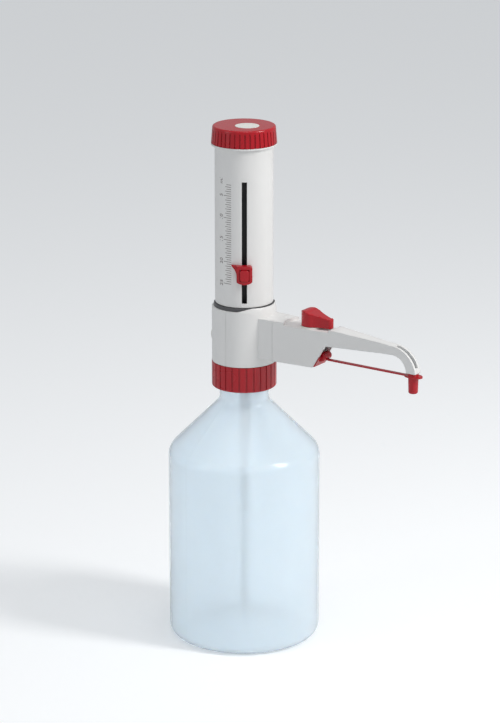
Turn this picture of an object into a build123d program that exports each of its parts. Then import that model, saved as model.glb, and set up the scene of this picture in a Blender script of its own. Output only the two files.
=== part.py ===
from build123d import *
import os
from math import asin, atan2, cos, degrees, radians, sin, sqrt

os.makedirs("parts", exist_ok=True)

# Origin: centre of the bottle's base. +Z up, +X along the discharge arm. Millimetres.

# Reagent bottle, two litres, with a GL45 neck
bottle_radius = 64.0
bottle_wall = 1.8
bottle_heel = 9.0
shoulder_radius = 14.0
neck_radius = 20.6
neck_blend = 10.0
lip_height = 236.0
neck_length = 27.3          # from the lip down to where the 45 degree cone would meet the neck

# Union collar and the seal it presses on the lip
seal_thick = 1.8
seal_inner = 16.8
collar_radius = 27.2
collar_height = 21.9
collar_bore = 22.7
collar_web = 2.4
collar_edge = 1.6
collar_grooves = 28
groove_depth = 0.7
groove_width = 1.1
flange_radius = 20.8
flange_thick = 2.4
spigot_radius = 16.7
free_gap = 0.3              # between bodies that move past each other
turn_gap = 0.05             # running fit, on the radius
seat_gap = 0.05             # between fixed pieces that seat in one another
seam_gap = 0.1
join = 0.5                  # how far one form of a piece runs into the next
overrun = 20.0              # how far cutting shapes reach past the form they cut

# Valve block housing
block_radius = 27.0
block_height = 47.5
shell_wall = 2.4
block_edge = 1.0
core_radius = 21.0
core_shoulder = 26.1        # height of the core's wide part above the block's foot
core_neck_radius = 15.4
core_neck_height = 12.0
cowl_inner = 25.6
cowl_rise = 3.5
cowl_drop = 5.7
cowl_shift = 1.2
cowl_round = 2.0
cowl_start_x = 9.0
cowl_ramp = 0.3

# Dispensing cylinder, piston and stroke
stroke = 93.25              # lift for 25 millilitres, 3.73 for each
least_stroke = 9.325        # lift for 2.5 millilitres
set_stroke = 75.719         # lift at the pointer's setting in the photograph, 20.3 millilitres
cylinder_bore = 9.25
cylinder_wall = 2.95
cylinder_floor = 20.8       # above the block's foot
cylinder_mouth = 28.75      # glass above the piston at full stroke
cylinder_seal_thick = 1.4
guard_outer = 17.3
guard_wall = 1.7
guard_foot_radius = 20.5
guard_foot_thick = 2.5
guard_flange_radius = 19.9
guard_flange_thick = 2.6
bush_height = 6.0
bush_lip = 1.0
piston_length = 16.0
piston_radius = 8.9
piston_clearance = 1.0      # between the piston and the cylinder's floor
lip_seal_height = 3.0
lip_seal_foot = 2.0         # above the piston's foot
lip_seal_depth = 1.5
piston_edge = 0.8
rod_radius = 5.0
rod_head_thick = 1.8
rod_hub_radius = 9.0
rod_hub_height = 4.0
rod_head_gap = 0.2

# Locking ring under the sleeve
ring_outer = 25.3
ring_height = 3.0
ring_edge = 0.5

# Outer sleeve that is lifted with the piston
sleeve_radius = 24.3
sleeve_wall = 2.0
sleeve_edge = 0.8
sleeve_head = 38.675         # closed wall above the slot
rim_radius = 27.35
rim_drop = 11.9             # from the sleeve's top to the rim's underside
rim_thick = 1.4
slot_angle = -55.0          # slot's direction, from +X
slot_width = 4.2
slot_foot = 3.8
slot_foot_gap = 2.8         # below the pointer's stem at full volume
slot_head_gap = 6.3         # above the stem at the least volume

# Screwed top cap
cap_radius_top = 26.1
cap_radius_foot = 27.2
cap_roof = 2.1
cap_edge = 1.6
cap_land = 0.2
cap_groove_width = 1.0
cap_groove_depth = 0.7
cap_groove_point = 1.8
cap_groove_drop = 2.0
cap_grooves = 40
cap_disc_radius = 10.0
cap_disc_thick = 0.8
cap_disc_proud = 0.15
cap_disc_offset = 4.6
cap_disc_angle = -22.0

# Toothed rail behind the slot
rack_thick = 1.3
rack_inset = 2.5
rack_reach = 6.2
tooth_pitch = 1.865
tooth_depth = 0.6
rack_end_gap = 2.0

# Volume pointer with its release button
pointer_width = 13.0
pointer_height = 15.8
pointer_proud = 4.8
pointer_stem_width = 3.5
pointer_stem_height = 10.0
pointer_wall = 2.0
pointer_corner = 2.2
beak_reach = 10.8
beak_thick = 1.8
beak_height = 9.0
button_width = 7.6
button_height = 9.4
button_proud = 1.3
button_travel = 1.2
button_gap = 0.25
button_corner = 1.8
button_stem_width = 1.8
button_stem_height = 6.0
latch_width = 8.0
latch_height = 9.0
latch_thick = 0.9
latch_drop = 0.6            # between the rail's and the latch's tooth tips
latch_teeth = 4

# Discharge arm
arm_root_width = 12.5       # half width at the seam
arm_slope = 0.0815          # how fast the half width falls along the arm
arm_tip_width = 4.3
seam_x = 36.6
arm_top = 41.8              # above the block's foot
arm_foot = 7.3
arm_wall = 2.0
slant_x = 74.2
slant_top_x = 86.1
slim_foot = 27.2
slim_rise = 2.1
bend_start_x = 148.1
inner_bend_radius = 13.3
outer_bend_radius = 24.0
tip_x = 170.4
tip_height = 16.2
top_break_x = 95.0
top_break_drop = 0.6
top_slope = 0.0842          # how fast the top falls towards the bend
window_width = 3.6
window_start_x = 149.5
window_end_height = 20.4
window_depth = 4.5
window_run = 8.0
window_dip = 2.5
tongue_length = 5.5
tongue_wall = 1.4
tongue_gap = 0.15
nozzle_floor = 1.6

# Recirculation valve in the arm
valve_x = 67.5
dish_radius = 23.2
dish_depth = 2.6
valve_body_radius = 6.8
valve_body_foot = 10.8
plug_radius = 4.0
plug_foot = 12.0
plug_ring_heights = (6.5, 23.0)
o_ring_section = 0.6
knob_seat_radius = 9.5
knob_seat_thick = 1.3
knob_hub_radius = 8.5
knob_tip_radius = 3.2
knob_reach = 17.6
knob_height = 13.0
knob_tip_drop = 5.2
knob_edge = 1.2
knob_waist = 0.9
knob_crown_x = 1.0
knob_crown_drop = 1.0
knob_back_drop = 2.0
knob_nose = 3.4

# Tubes and valves
outlet_height = 14.6        # above the block's foot
outlet_radius = 2.8
outlet_bore = 1.6
outlet_valve_radius = 3.95
outlet_valve_length = 12.0
outlet_valve_proud = 3.0
outlet_ball_radius = 1.8
outlet_ball_travel = 0.8
ball_seat_gap = 0.1
ball_side_gap = 0.3
cage_start = 3.0            # from the valve's end to its seat
cage_slot = 0.9
pipe_overlap = 1.5
return_y = 5.8
return_radius = 1.4
return_bore = 0.8
return_start = 12.0
return_seat = 3.0
discharge_tube_radius = 1.4
discharge_tube_bore = 0.8
discharge_bend_radius = 17.6
discharge_tube_drop = 8.7   # centre line below the arm's top face
nozzle_length = 8.0
tube_start = 5.2            # from the plug's axis
intake_valve_radius = 5.0
intake_valve_length = 12.0
intake_nut = 1.8            # the valve's foot below the core's flange
intake_ball_radius = 2.2
intake_ball_travel = 1.2
nipple_radius = 2.85
nipple_length = 12.0
upper_tube_bore = 2.95
upper_tube_wall = 0.95
upper_tube_foot = 110.0
lower_tube_wall = 0.85
lower_tube_foot = 8.0
lower_tube_top = 138.0
drip_tube_x = 9.5
drip_tube_radius = 1.8
drip_tube_wall = 0.6
drip_tube_offset = 2.0
drip_tube_seat = 8.0
drip_tube_foot = 178.0

# Vent on the rear cover
vent_height = 18.8          # above the block's foot
vent_cap_radius = 8.0
vent_cap_thick = 3.6
vent_plug_radius = 5.8
vent_boss_proud = 0.4
vent_boss_ledge = 0.3
vent_rim = 0.8
vent_plug_wall = 1.2
vent_plug_gap = 1.0
vent_passage = 1.2
vent_passage_x = 14.5

# Nozzle closure with its strap
anchor_pin_x = 81.0
anchor_pin_height = 16.4
anchor_pin_radius = 1.7
strap_eye_radius = 3.4
strap_eye_width = 5.6
strap_width = 3.0
strap_thick = 1.2
ear_width = 1.8
anchor_cover_height = 9.5   # up the slanted face
anchor_cover_thick = 1.0
anchor_plug_depth = 3.5
closure_x = 166.0
closure_height = 16.9
closure_radius = 4.35
closure_taper = 0.45
closure_wall = 1.05
wing_reach = 8.2
wing_half_width = 5.0
wing_thick = 1.4
wing_drop = 1.8
closure_floor = 2.0
closure_edge = 1.5

# Heights that follow from the sizes above
cone_sum = lip_height - neck_length + neck_radius       # radius plus height on the cone
flange_foot = lip_height + seal_thick
flange_top = flange_foot + flange_thick
collar_top = flange_top + free_gap + collar_web
collar_foot = collar_top - collar_height
block_foot = collar_top + free_gap
block_top = block_foot + block_height
shell_floor = block_foot + shell_wall
core_foot = shell_floor + free_gap
shoulder_top = block_foot + core_shoulder
core_top = shoulder_top + core_neck_height
glass_foot = block_foot + cylinder_floor
glass_top = glass_foot + piston_clearance + piston_length + stroke + cylinder_mouth
glass_outer = cylinder_bore + cylinder_wall
ring_foot = block_top
sleeve_foot = ring_foot + ring_height + free_gap
slot_z = sleeve_foot + slot_foot
slot_length = stroke - least_stroke + pointer_stem_height + slot_foot_gap + slot_head_gap
sleeve_top = slot_z + slot_length + sleeve_head
rim_foot = sleeve_top - rim_drop
cap_foot = rim_foot + rim_thick + seam_gap
cap_top = sleeve_top + rod_head_thick + free_gap + cap_roof
cap_height = cap_top - cap_foot
guard_inner = guard_outer - guard_wall
pointer_foot_z = slot_z + slot_foot_gap + stroke - set_stroke
pointer_z = pointer_foot_z + pointer_stem_height / 2
latch_top = pointer_z + latch_height / 2
guard_stop = latch_top + set_stroke
guard_top = guard_stop + guard_flange_thick
sleeve_bore = sleeve_radius - sleeve_wall
rack_inner = sleeve_bore - rack_thick
arm_top_z = block_foot + arm_top
arm_foot_z = block_foot + arm_foot
slim_z = block_foot + slim_foot
arm_end_z = block_foot + tip_height
dish_z = arm_top_z - dish_depth
outlet_z = block_foot + outlet_height
closure_top = arm_end_z - free_gap
anchor_z = block_foot + anchor_pin_height
knob_foot = dish_z + knob_seat_thick + free_gap
vent_z = block_foot + vent_height
tube_z = arm_top_z - discharge_tube_drop
intake_foot = flange_foot - intake_nut
outlet_valve_start = core_radius + outlet_valve_proud - outlet_valve_length
pipe_end = valve_x - valve_body_radius + pipe_overlap
return_end = valve_x - valve_body_radius + return_seat
drip_tube_y = -return_y - drip_tube_offset


def tube(outer, inner, foot, top):
    """Upright tube on the main axis."""
    ring = Circle(outer) - Circle(inner)
    return extrude(Pos(0, 0, foot) * ring, top - foot)


def rod(radius, foot, top, x=0.0, y=0.0):
    """Upright round bar."""
    return extrude(Pos(x, y, foot) * Circle(radius), top - foot)


def bar_x(radius, start, end, height, y=0.0):
    """Round bar along +X."""
    return extrude(Plane.YZ.offset(start) * Pos(y, height) * Circle(radius), end - start)


def block_between(x0, x1, y0, y1, z0, z1):
    """Rectangular block between two corners."""
    middle = Pos((x0 + x1) / 2, (y0 + y1) / 2, (z0 + z1) / 2)
    return middle * Box(x1 - x0, y1 - y0, z1 - z0)


def side_plate(face, half_width):
    """A face drawn in X and Z, thickened both ways along Y."""
    return extrude(face, half_width, both=True)


def facing(shape):
    """Turns a shape built with its front towards -Y to the slot's direction."""
    return Rot(0, 0, slot_angle + 90) * shape


def revolved(points):
    """Solid of revolution about the main axis from straight runs in radius and height."""
    return revolve(make_face(Plane.XZ * Polyline(*points, close=True)), Axis.Z)


def bottle_form(inset):
    """Bottle's outer form, or its hollow when it is inset by the wall."""
    c = cos(radians(45))
    half = radians(22.5)
    shoulder_z = cone_sum - bottle_radius - shoulder_radius * (sqrt(2) - 1)
    neck_z = cone_sum - neck_radius + neck_blend * (sqrt(2) - 1)
    heel = bottle_heel - inset
    outer = shoulder_radius - inset
    inner = neck_blend + inset
    shoulder_r = bottle_radius - shoulder_radius
    blend_r = neck_radius + neck_blend
    with BuildSketch(Plane.XZ) as sketch:
        with BuildLine():
            a = (bottle_radius - bottle_heel, inset)
            b = (bottle_radius - inset, bottle_heel)
            Line((0, inset), a)
            ThreePointArc(a, (bottle_radius - bottle_heel + heel * c, bottle_heel - heel * c), b)
            d = (bottle_radius - inset, shoulder_z)
            Line(b, d)
            e = (shoulder_r + outer * c, shoulder_z + outer * c)
            ThreePointArc(d, (shoulder_r + outer * cos(half), shoulder_z + outer * sin(half)), e)
            f = (blend_r - inner * c, neck_z - inner * c)
            Line(e, f)
            g = (neck_radius - inset, neck_z)
            ThreePointArc(f, (blend_r - inner * cos(half), neck_z - inner * sin(half)), g)
            Line(g, (neck_radius - inset, lip_height))
            Line((neck_radius - inset, lip_height), (0, lip_height))
            Line((0, lip_height), (0, inset))
        make_face()
    return revolve(sketch.sketch, Axis.Z)


def make_bottle():
    return bottle_form(0.0) - bottle_form(bottle_wall)


def make_neck_seal():
    return tube(flange_radius, seal_inner, lip_height, flange_foot)


def make_collar():
    body = tube(collar_radius, collar_bore, collar_foot, collar_top - collar_web)
    body += tube(collar_radius, spigot_radius + free_gap, collar_top - collar_web, collar_top)
    rims = body.edges().filter_by(GeomType.CIRCLE)
    rims = [rim for rim in rims if rim.radius > collar_radius - 0.01]
    foot_rim = min(rims, key=lambda rim: rim.center().Z)
    body = fillet([foot_rim], collar_edge)
    depth = Box(2 * groove_depth, groove_width, collar_height)
    cuts = PolarLocations(collar_radius, collar_grooves)
    middle = (collar_foot + collar_top) / 2
    grooves = [Pos(0, 0, middle) * place * depth for place in cuts.locations]
    return body - grooves


def make_valve_block():
    """Core of the block: cylinder socket, valve seats and passages."""
    body = rod(flange_radius, flange_foot, flange_top)
    body += rod(spigot_radius, flange_top, core_foot)
    body += rod(core_radius, core_foot, shoulder_top)
    body += rod(core_neck_radius, shoulder_top, core_top)
    body -= rod(glass_outer + seat_gap, glass_foot - cylinder_seal_thick, core_top)
    body -= rod(outlet_bore, outlet_z, glass_foot)
    body -= rod(intake_valve_radius + seat_gap, flange_foot, intake_foot + intake_valve_length)
    body -= rod(outlet_bore, flange_foot, outlet_z)
    body -= bar_x(outlet_bore, 0, core_radius, outlet_z)
    body -= bar_x(outlet_valve_radius + seat_gap, outlet_valve_start, core_radius, outlet_z)
    drip_bore = drip_tube_radius + seat_gap
    body -= rod(drip_bore, flange_foot, outlet_z, drip_tube_x, drip_tube_y)
    body -= bar_x(return_radius + seat_gap, drip_tube_x, core_radius, outlet_z, -return_y)
    body -= rod(vent_passage, flange_foot, vent_z, -vent_passage_x)
    body -= bar_x(vent_passage, -core_radius, -vent_passage_x, vent_z)
    return body


def shell_blank():
    """Whole round housing of the block before it is parted into front and rear."""
    shell = tube(block_radius, block_radius - shell_wall, block_foot, block_top)
    shell += tube(block_radius, guard_outer + free_gap, block_top - shell_wall, block_top)
    shell += tube(block_radius, spigot_radius + free_gap, block_foot, shell_floor)
    return shell


def cowl():
    """Raised shoulder that hides the locking ring on the arm's side."""
    top = block_top + cowl_rise
    foot = block_top - join
    wall = tube(block_radius, cowl_inner, foot, top)
    run = (top - block_top) / cowl_ramp
    outline = Polyline(
        (cowl_start_x, foot),
        (cowl_start_x, block_top),
        (cowl_start_x + run, top),
        (block_radius + join, top),
        (block_radius + join, foot),
        close=True,
    )
    return wall & side_plate(make_face(Plane.XZ * outline), block_radius + join)


def cowl_rounding():
    """What is cut away outside the rounded shoulder."""
    top = block_top + cowl_rise
    foot = block_top - cowl_drop
    height = top - foot
    reach = block_radius + cowl_shift - seam_gap
    centre = reach - cowl_round
    far = block_radius + overrun
    with BuildSketch(Plane.XZ) as sketch:
        with BuildLine():
            EllipticalCenterArc((centre, foot), cowl_round, height, 0, arc_size=90)
            Polyline((centre, top), (centre, top + join), (far, top + join), (far, foot), (reach, foot))
        make_face()
    ring = Pos(-cowl_shift, 0, 0) * revolve(sketch.sketch, Axis.Z)
    return ring & block_between(cowl_start_x, far, -far, far, foot, top + join)


def half_width(x):
    """Arm's half width at a distance along it."""
    return max(arm_tip_width, arm_root_width - (x - seam_x) * arm_slope)


def plan_face(start, end, inset):
    """Arm seen from above, between two distances, narrowed by the inset."""
    taper_end = seam_x + (arm_root_width - arm_tip_width) / arm_slope
    stations = [x for x in (start, taper_end, end) if start <= x <= end]
    near = [(x, -half_width(x) + inset) for x in stations]
    far = [(x, half_width(x) - inset) for x in reversed(stations)]
    return make_face(Polyline(*near, *far, close=True))


def make_front_housing():
    """Front half of the block's housing with the arm's stub and the raised shoulder."""
    body = shell_blank()
    stub = extrude(Pos(0, 0, arm_foot_z) * plan_face(0, seam_x, 0), arm_top - arm_foot)
    stub -= rod(block_radius - join, arm_foot_z, arm_top_z)
    body = body + cowl() - cowl_rounding() + stub
    opening = extrude(
        Pos(0, 0, arm_foot_z + arm_wall) * plan_face(0, seam_x, arm_wall),
        arm_top - arm_foot - 2 * arm_wall,
    )
    body -= opening - rod(core_radius + free_gap, block_foot, block_top)
    keep = block_radius + overrun
    return body & block_between(seam_gap / 2, keep, -keep, keep, block_foot, block_top + overrun)


def make_rear_cover():
    """Rear half of the housing with the vent's boss."""
    body = shell_blank()
    rims = body.edges().filter_by(GeomType.CIRCLE)
    rims = [rim for rim in rims if rim.radius > block_radius - 0.01]
    top_rim = max(rims, key=lambda rim: rim.center().Z)
    body = fillet([top_rim], block_edge)
    boss_end = -block_radius - vent_boss_proud
    body += bar_x(vent_cap_radius + vent_boss_ledge, boss_end, shell_wall - block_radius, vent_z)
    body -= rod(block_radius - shell_wall, shell_floor, block_top - shell_wall)
    body -= bar_x(vent_plug_radius + free_gap, boss_end, -core_radius, vent_z)
    keep = block_radius + overrun
    return body & block_between(-keep, -seam_gap / 2, -keep, keep, block_foot, block_top)


def make_cylinder_guard():
    """Dark guide tube that the sleeve runs on, with its stop flange."""
    body = tube(guard_outer, guard_inner, shoulder_top, guard_top)
    body += tube(guard_foot_radius, guard_inner, shoulder_top, shoulder_top + guard_foot_thick)
    body += tube(guard_flange_radius, guard_inner, guard_stop, guard_top)
    notch = latch_width + 2 * free_gap
    pass_depth = guard_outer + free_gap
    gap = block_between(-notch / 2, notch / 2, -guard_foot_radius, -pass_depth, guard_stop, guard_top)
    return body - facing(gap)


def make_glass_cylinder():
    return tube(glass_outer, cylinder_bore, glass_foot, glass_top)


def make_cylinder_seal():
    return tube(glass_outer, cylinder_bore, glass_foot - cylinder_seal_thick, glass_foot)


def make_cylinder_bush():
    """Ring that centres the glass in the guard's mouth."""
    body = tube(guard_inner - seat_gap, glass_outer + seat_gap, glass_top - bush_height, glass_top)
    return body + tube(guard_inner - seat_gap, cylinder_bore + free_gap, glass_top, glass_top + bush_lip)


def make_lock_ring():
    body = tube(ring_outer, guard_outer + free_gap, ring_foot, ring_foot + ring_height)
    rims = body.edges().filter_by(GeomType.CIRCLE)
    rims = [rim for rim in rims if rim.radius > ring_outer - 0.01]
    return chamfer([max(rims, key=lambda rim: rim.center().Z)], ring_edge)


def make_outer_sleeve():
    """White sleeve with the rim under the cap and the pointer's slot."""
    body = tube(sleeve_radius, sleeve_bore, sleeve_foot, sleeve_top)
    rims = body.edges().filter_by(GeomType.CIRCLE)
    rims = [rim for rim in rims if rim.radius > sleeve_radius - 0.01]
    body = fillet([min(rims, key=lambda rim: rim.center().Z)], sleeve_edge)
    body += tube(rim_radius, sleeve_bore, rim_foot, rim_foot + rim_thick)
    slot = block_between(
        -slot_width / 2, slot_width / 2,
        -sleeve_radius - join, -sleeve_bore + slot_width,
        slot_z, slot_z + slot_length,
    )
    return body - facing(slot)


def make_top_cap():
    """Ribbed cap that clamps the piston rod on the sleeve."""
    profile = [
        (0, cap_top), (cap_radius_top, cap_top), (cap_radius_foot, cap_foot),
        (sleeve_radius + cap_land, cap_foot), (sleeve_radius + cap_land, cap_top - cap_roof),
        (0, cap_top - cap_roof),
    ]
    body = revolved(profile)
    rims = body.edges().filter_by(GeomType.CIRCLE)
    top_rim = [rim for rim in rims if abs(rim.radius - cap_radius_top) < 0.01]
    body = fillet(top_rim, cap_edge)
    tilt = degrees(atan2(cap_radius_foot - cap_radius_top, cap_height))
    side = cap_groove_width / 2
    point = -cap_groove_drop
    outline = Polyline(
        (-side, -cap_height - join), (side, -cap_height - join), (side, point - cap_groove_point),
        (0, point), (-side, point - cap_groove_point), close=True,
    )
    cutter = extrude(make_face(Plane.YZ * outline), cap_groove_depth + join)
    cutter = Pos(cap_radius_top - cap_groove_depth, 0, cap_top) * Rot(0, -tilt, 0) * cutter
    turn = 360 / cap_grooves
    body -= [Rot(0, 0, i * turn) * cutter for i in range(cap_grooves)]
    return body - disc_place() * rod(cap_disc_radius + seat_gap, cap_top - cap_disc_thick, cap_top + join)


def disc_place():
    """Where the pale disc is let into the cap, off its centre."""
    a = radians(cap_disc_angle)
    return Pos(cap_disc_offset * cos(a), cap_disc_offset * sin(a), 0)


def make_cap_disc():
    return disc_place() * rod(cap_disc_radius, cap_top - cap_disc_thick, cap_top + cap_disc_proud)


def make_piston_rod():
    piston_top = glass_foot + piston_clearance + piston_length
    body = rod(rod_radius, piston_top, sleeve_top)
    head = rod(sleeve_radius - rod_head_gap, sleeve_top, sleeve_top + rod_head_thick)
    hub = rod(rod_hub_radius, sleeve_top - rod_hub_height, sleeve_top)
    return body + hub + head


def seal_groove_foot():
    return glass_foot + piston_clearance + lip_seal_foot


def make_piston():
    foot = glass_foot + piston_clearance
    body = rod(piston_radius, foot, foot + piston_length)
    rims = body.edges().filter_by(GeomType.CIRCLE)
    body = chamfer([min(rims, key=lambda rim: rim.center().Z)], piston_edge)
    groove = seal_groove_foot()
    inner = piston_radius - lip_seal_depth
    return body - tube(piston_radius + join, inner, groove, groove + lip_seal_height)


def make_piston_seal():
    """Flared lip that wipes the glass."""
    foot = seal_groove_foot()
    top = foot + lip_seal_height
    reach = cylinder_bore - turn_gap
    inner = piston_radius - lip_seal_depth
    land = top - piston_edge
    return revolved([(inner, foot), (piston_radius, foot), (reach, land), (reach, top), (inner, top)])


def make_toothed_rack():
    """Two toothed strips inside the sleeve, one each side of the slot."""
    foot = slot_z + rack_end_gap
    top = slot_z + slot_length - rack_end_gap
    ring = tube(sleeve_bore - seat_gap, rack_inner, foot, top)
    strips = None
    for side in (-1, 1):
        x0 = min(side * rack_inset, side * rack_reach)
        x1 = max(side * rack_inset, side * rack_reach)
        window = block_between(x0, x1, -sleeve_radius, -rack_inner + slot_width, foot, top)
        strip = ring & window
        strips = strip if strips is None else strips + strip
    count = int((top - foot) / tooth_pitch) - 1
    deep = rack_inner + tooth_depth
    cuts = []
    for i in range(count):
        z = foot + tooth_pitch * (i + 0.75)
        outline = Polyline(
            (-rack_inner + slot_width, z - tooth_pitch / 4), (-rack_inner + slot_width, z + tooth_pitch / 4),
            (-rack_inner, z + tooth_pitch / 4), (-deep, z), (-rack_inner, z - tooth_pitch / 4), close=True,
        )
        cuts.append(extrude(make_face(Plane.YZ * outline), rack_reach + join, both=True))
    return facing(strips - cuts)


def pointer_outline():
    """Front view of the pointer's body: flat top, round lower corners."""
    w = pointer_width / 2
    h = pointer_height / 2
    with BuildSketch(Plane.XZ) as sketch:
        with BuildLine():
            corner = pointer_corner
            slack = corner * (1 - cos(radians(45)))
            Line((-w, h), (w - corner, h))
            ThreePointArc((w - corner, h), (w - slack, h - slack), (w, h - corner))
            Line((w, h - corner), (w, corner - h))
            ThreePointArc((w, corner - h), (0, -h), (-w, corner - h))
            Line((-w, corner - h), (-w, h))
        make_face()
    return sketch.sketch


def beak_outline():
    """Sharp beak that points at the scale, with its hollow lower edge."""
    w = pointer_width / 2
    h = pointer_height / 2
    with BuildSketch(Plane.XZ) as sketch:
        with BuildLine():
            tip = (-beak_reach, h)
            lip = (-beak_reach + 0.4, h - 1.2)
            foot = (-w, h - beak_height)
            root = -w + pointer_wall
            Line((root, h), tip)
            Line(tip, lip)
            ThreePointArc(lip, (-w - 1.3, h - beak_height / 2), foot)
            Polyline(foot, (root, h - beak_height), (root, h))
        make_face()
    return sketch.sketch


def make_volume_pointer():
    back = sleeve_radius + free_gap
    front = back + pointer_proud
    reach = front + overrun
    body = extrude(pointer_outline(), reach) & tube(front, back, -pointer_height, pointer_height)
    beak = extrude(beak_outline(), reach) & tube(back + beak_thick, back, -pointer_height, pointer_height)
    neck = block_between(
        -pointer_stem_width / 2, pointer_stem_width / 2,
        -back - join, -sleeve_bore,
        -pointer_stem_height / 2, pointer_stem_height / 2,
    )
    pocket_floor = front - pointer_wall - button_travel - free_gap
    pocket = block_between(
        -button_width / 2 - button_gap, button_width / 2 + button_gap, -reach, 0,
        -button_height / 2 - button_gap, button_height / 2 + button_gap,
    )
    pocket -= rod(pocket_floor, -pointer_height, pointer_height)
    bore = block_between(
        -button_stem_width / 2 - button_gap, button_stem_width / 2 + button_gap, -reach, -rack_inner,
        -button_stem_height / 2 - button_gap, button_stem_height / 2 + button_gap,
    )
    body = body + beak + neck - pocket - bore
    return facing(Pos(0, 0, pointer_z) * body)


def make_pointer_button():
    """Push button with its flat stem through the pointer and the slot."""
    front = sleeve_radius + free_gap + pointer_proud + button_proud
    back = sleeve_radius + free_gap + pointer_proud - pointer_wall
    with BuildSketch(Plane.XZ) as sketch:
        RectangleRounded(button_width, button_height, button_corner)
    face = extrude(sketch.sketch, front + overrun)
    limit = rod(front, -button_height, button_height) - rod(back, -button_height, button_height)
    head = face & limit
    stem = block_between(
        -button_stem_width / 2, button_stem_width / 2, -back - join, -latch_outer(),
        -button_stem_height / 2, button_stem_height / 2,
    )
    return facing(Pos(0, 0, pointer_z) * (head + stem))


def latch_outer():
    """Radius of the latch plate's outer face."""
    return rack_inner - tooth_depth - latch_drop


def make_pointer_latch():
    """Plate behind the slot whose teeth answer the rail."""
    outer = latch_outer()
    plate = block_between(
        -latch_width / 2, latch_width / 2, -outer, -outer + latch_thick,
        -latch_height / 2, latch_height / 2,
    )
    gap = rack_inset + free_gap
    body = plate
    for i in range(latch_teeth):
        z = tooth_pitch * (i - (latch_teeth - 1) / 2)
        outline = Polyline(
            (-outer, z - tooth_pitch / 4), (-outer, z + tooth_pitch / 4), (-outer - tooth_depth, z),
            close=True,
        )
        tooth = extrude(make_face(Plane.YZ * outline), latch_width / 2, both=True)
        body += tooth - block_between(-gap, gap, -sleeve_radius, 0, z - tooth_pitch, z + tooth_pitch)
    return facing(Pos(0, 0, pointer_z) * body)


def bend_point(centre_x, centre_z, radius, angle):
    """Point on a bend, at an angle from straight up."""
    a = radians(angle)
    return (centre_x + radius * sin(a), centre_z + radius * cos(a))


def arm_side(inset):
    """Arm seen from the side; inset gives its hollow, open at the root and at the slanted face."""
    inner_z = slim_z + slim_rise - inner_bend_radius
    inner_r = inner_bend_radius + inset
    outer_x = tip_x - outer_bend_radius
    start_z = arm_top_z - top_break_drop - (bend_start_x - top_break_x) * top_slope
    outer_z = start_z - outer_bend_radius
    outer_r = outer_bend_radius - inset
    root = seam_x + seam_gap if inset == 0 else seam_x - tongue_length - join
    foot = arm_foot_z + inset
    lean = degrees(asin(top_slope))
    top_a = bend_point(outer_x, outer_z, outer_r, lean)
    end_z = arm_end_z if inset == 0 else arm_end_z + nozzle_floor
    outer_end = (outer_x + sqrt(outer_r ** 2 - (end_z - outer_z) ** 2), end_z)
    outer_stop = degrees(atan2(outer_end[0] - outer_x, end_z - outer_z))
    inner_end = (bend_start_x + sqrt(inner_r ** 2 - (end_z - inner_z) ** 2), end_z)
    inner_stop = degrees(atan2(inner_end[0] - bend_start_x, end_z - inner_z))
    inner_a = (bend_start_x, inner_z + inner_r)
    with BuildSketch(Plane.XZ) as sketch:
        with BuildLine():
            if inset == 0:
                Polyline((root, foot), (slant_x, foot), (slant_top_x, slim_z), inner_a)
                Polyline(top_a, (top_break_x, arm_top_z - top_break_drop), (root, arm_top_z), (root, foot))
            else:
                roof = dish_z - inset
                Polyline(
                    (root, foot), (slant_top_x + inset, foot), (slant_top_x + inset, slim_z + inset), inner_a,
                )
                Polyline(top_a, (dish_end(), roof), (root, roof), (root, foot))
            ThreePointArc(inner_a, bend_point(bend_start_x, inner_z, inner_r, inner_stop / 2), inner_end)
            Line(inner_end, outer_end)
            middle = (outer_stop + lean) / 2
            ThreePointArc(outer_end, bend_point(outer_x, outer_z, outer_r, middle), top_a)
        make_face()
    return sketch.sketch


def dish_end():
    """Where the hollow's roof leaves the dish and rises to the arm's top."""
    return valve_x + dish_radius + 2 * arm_wall


def make_discharge_housing():
    """Hollow arm that carries the recirculation valve and the discharge tube."""
    depth = arm_root_width + overrun
    foot = block_foot - overrun
    height = arm_top + 2 * overrun
    outer = side_plate(arm_side(0.0), depth)
    outer = outer & extrude(Pos(0, 0, foot) * plan_face(seam_x, tip_x + join, 0), height)
    hollow_plan = plan_face(seam_x - overrun, tip_x + join, arm_wall)
    hollow = side_plate(arm_side(arm_wall), depth) & extrude(Pos(0, 0, foot) * hollow_plan, height)
    body = outer - hollow
    body -= rod(dish_radius, dish_z, arm_top_z + overrun, valve_x)
    body -= rod(plug_radius + free_gap, dish_z - arm_wall - join, dish_z + join, valve_x)
    window_end = block_foot + window_end_height
    outline = Polyline(
        (window_start_x, tube_z), (window_start_x, arm_top_z + join), (tip_x + join, arm_top_z + join),
        (tip_x + join, window_end), (tip_x - window_depth, window_end),
        (window_start_x + window_run, tube_z - window_dip),
        close=True,
    )
    body -= side_plate(make_face(Plane.XZ * outline), window_width / 2)
    nozzle_top = arm_end_z + nozzle_floor
    body -= rod(discharge_tube_radius + free_gap, arm_end_z - join, nozzle_top + join, closure_x)
    tongue_side = half_width(seam_x) - arm_wall - tongue_gap
    tongue_foot = arm_foot_z + arm_wall + tongue_gap
    tongue_top = arm_top_z - arm_wall - tongue_gap
    tongue = block_between(
        seam_x - tongue_length, seam_x + join, -tongue_side, tongue_side, tongue_foot, tongue_top,
    )
    inner_side = tongue_side - tongue_wall
    tongue -= block_between(
        seam_x - tongue_length, seam_x + join, -inner_side, inner_side,
        tongue_foot + tongue_wall, dish_z - arm_wall,
    )
    return body + tongue


def ball_lift(radius, bore):
    """Height of a ball's centre above the round seat that it closes."""
    return sqrt(radius ** 2 - bore ** 2) + ball_seat_gap


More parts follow.
